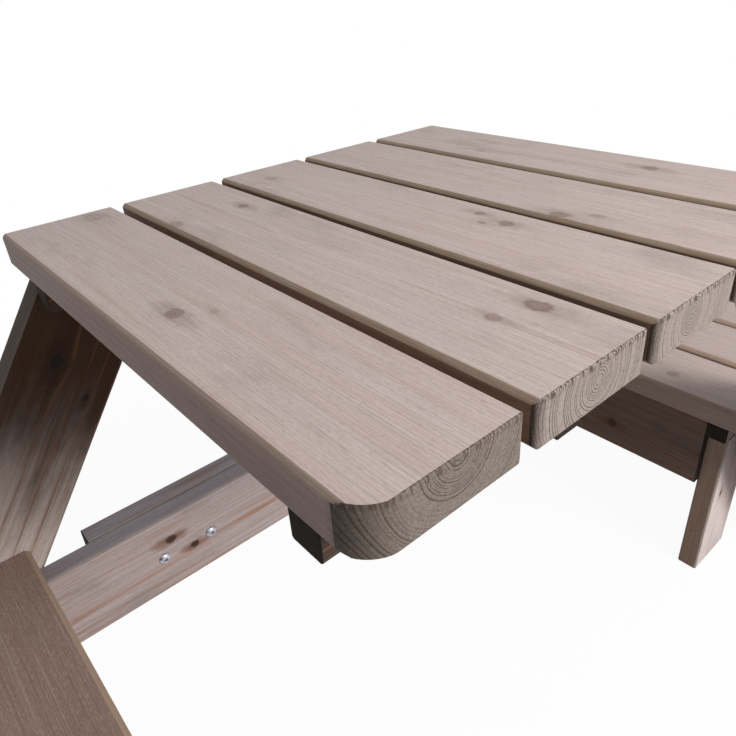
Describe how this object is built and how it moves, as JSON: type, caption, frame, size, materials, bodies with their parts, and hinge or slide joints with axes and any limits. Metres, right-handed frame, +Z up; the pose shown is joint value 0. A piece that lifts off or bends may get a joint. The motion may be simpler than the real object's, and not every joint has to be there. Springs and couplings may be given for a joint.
{
  "type": "convertible picnic table bench",
  "caption": "Wooden picnic table with a seat on each side and a plank top that tilts up on rear pivots to become a backrest.",
  "frame": {"origin": "on the floor below the middle of the tabletop", "axes": "+Z up, +Y across the tabletop boards towards the rear seat, +X along the boards towards the free end"},
  "size_m": [0.695, 1.914, 0.83],
  "materials": {
    "table_boards": "planed, grey-brown stain, satin",
    "seat_boards": "planed, grey-brown stain, satin",
    "frame_planks": "planed, darker grey-brown stain, satin",
    "zinc_steel": "bright zinc plate",
    "knob_plastic": "black moulded"
  },
  "bodies": {
    "frame": {"backrest_stop_left": "frame_planks", "backrest_stop_right": "frame_planks", "front_apron_rail": "frame_planks", "front_bench_leg_inner": "frame_planks", "front_bench_leg_outer": "frame_planks", "front_left_leg": "frame_planks", "front_seat_batten": "frame_planks", "front_seat_beam": "frame_planks", "front_seat_board_1": "seat_boards", "front_seat_board_2": "seat_boards", "front_seat_board_3": "seat_boards", "hinge_plate_left": "zinc_steel", "hinge_plate_right": "zinc_steel", "leg_bolts": "zinc_steel", "leg_nuts": "zinc_steel", "pivot_bolts": "zinc_steel", "plate_bolts": "zinc_steel", "plate_nuts": "zinc_steel", "rear_apron_rail": "frame_planks", "rear_bench_leg_inner": "frame_planks", "rear_bench_leg_outer": "frame_planks", "rear_left_leg": "frame_planks", "rear_right_beam": "frame_planks", "rear_right_leg": "frame_planks", "rear_seat_batten": "frame_planks", "rear_seat_beam": "frame_planks", "rear_seat_board_1": "seat_boards", "rear_seat_board_2": "seat_boards", "rear_seat_board_3": "seat_boards", "tie_board": "frame_planks", "tie_bolts": "zinc_steel", "tie_nuts": "zinc_steel"},
    "tabletop": {"spine_rail": "frame_planks", "top_batten_left": "frame_planks", "top_batten_right": "frame_planks", "top_board_1": "table_boards", "top_board_2": "table_boards", "top_board_3": "table_boards", "top_board_4": "table_boards", "top_board_5": "table_boards"},
    "left_knob": {"hand_knob_left": "knob_plastic"},
    "right_knob": {"hand_knob_right": "knob_plastic"}
  },
  "joints": [
    {"name": "tabletop_tilt", "type": "hinge", "parent": "frame", "child": "tabletop", "pos_m": [0, 0.386, 0.766], "axis": [-1, 0, 0], "range_deg": [0, 78]},
    {"name": "left_knob_turn", "type": "hinge", "parent": "tabletop", "child": "left_knob", "pos_m": [-0.25, 0.386, 0.766], "axis": [1, 0, 0], "range_deg": [0, 180]},
    {"name": "right_knob_turn", "type": "hinge", "parent": "tabletop", "child": "right_knob", "pos_m": [0.246, 0.386, 0.766], "axis": [1, 0, 0], "range_deg": [0, 180]}
  ]
}
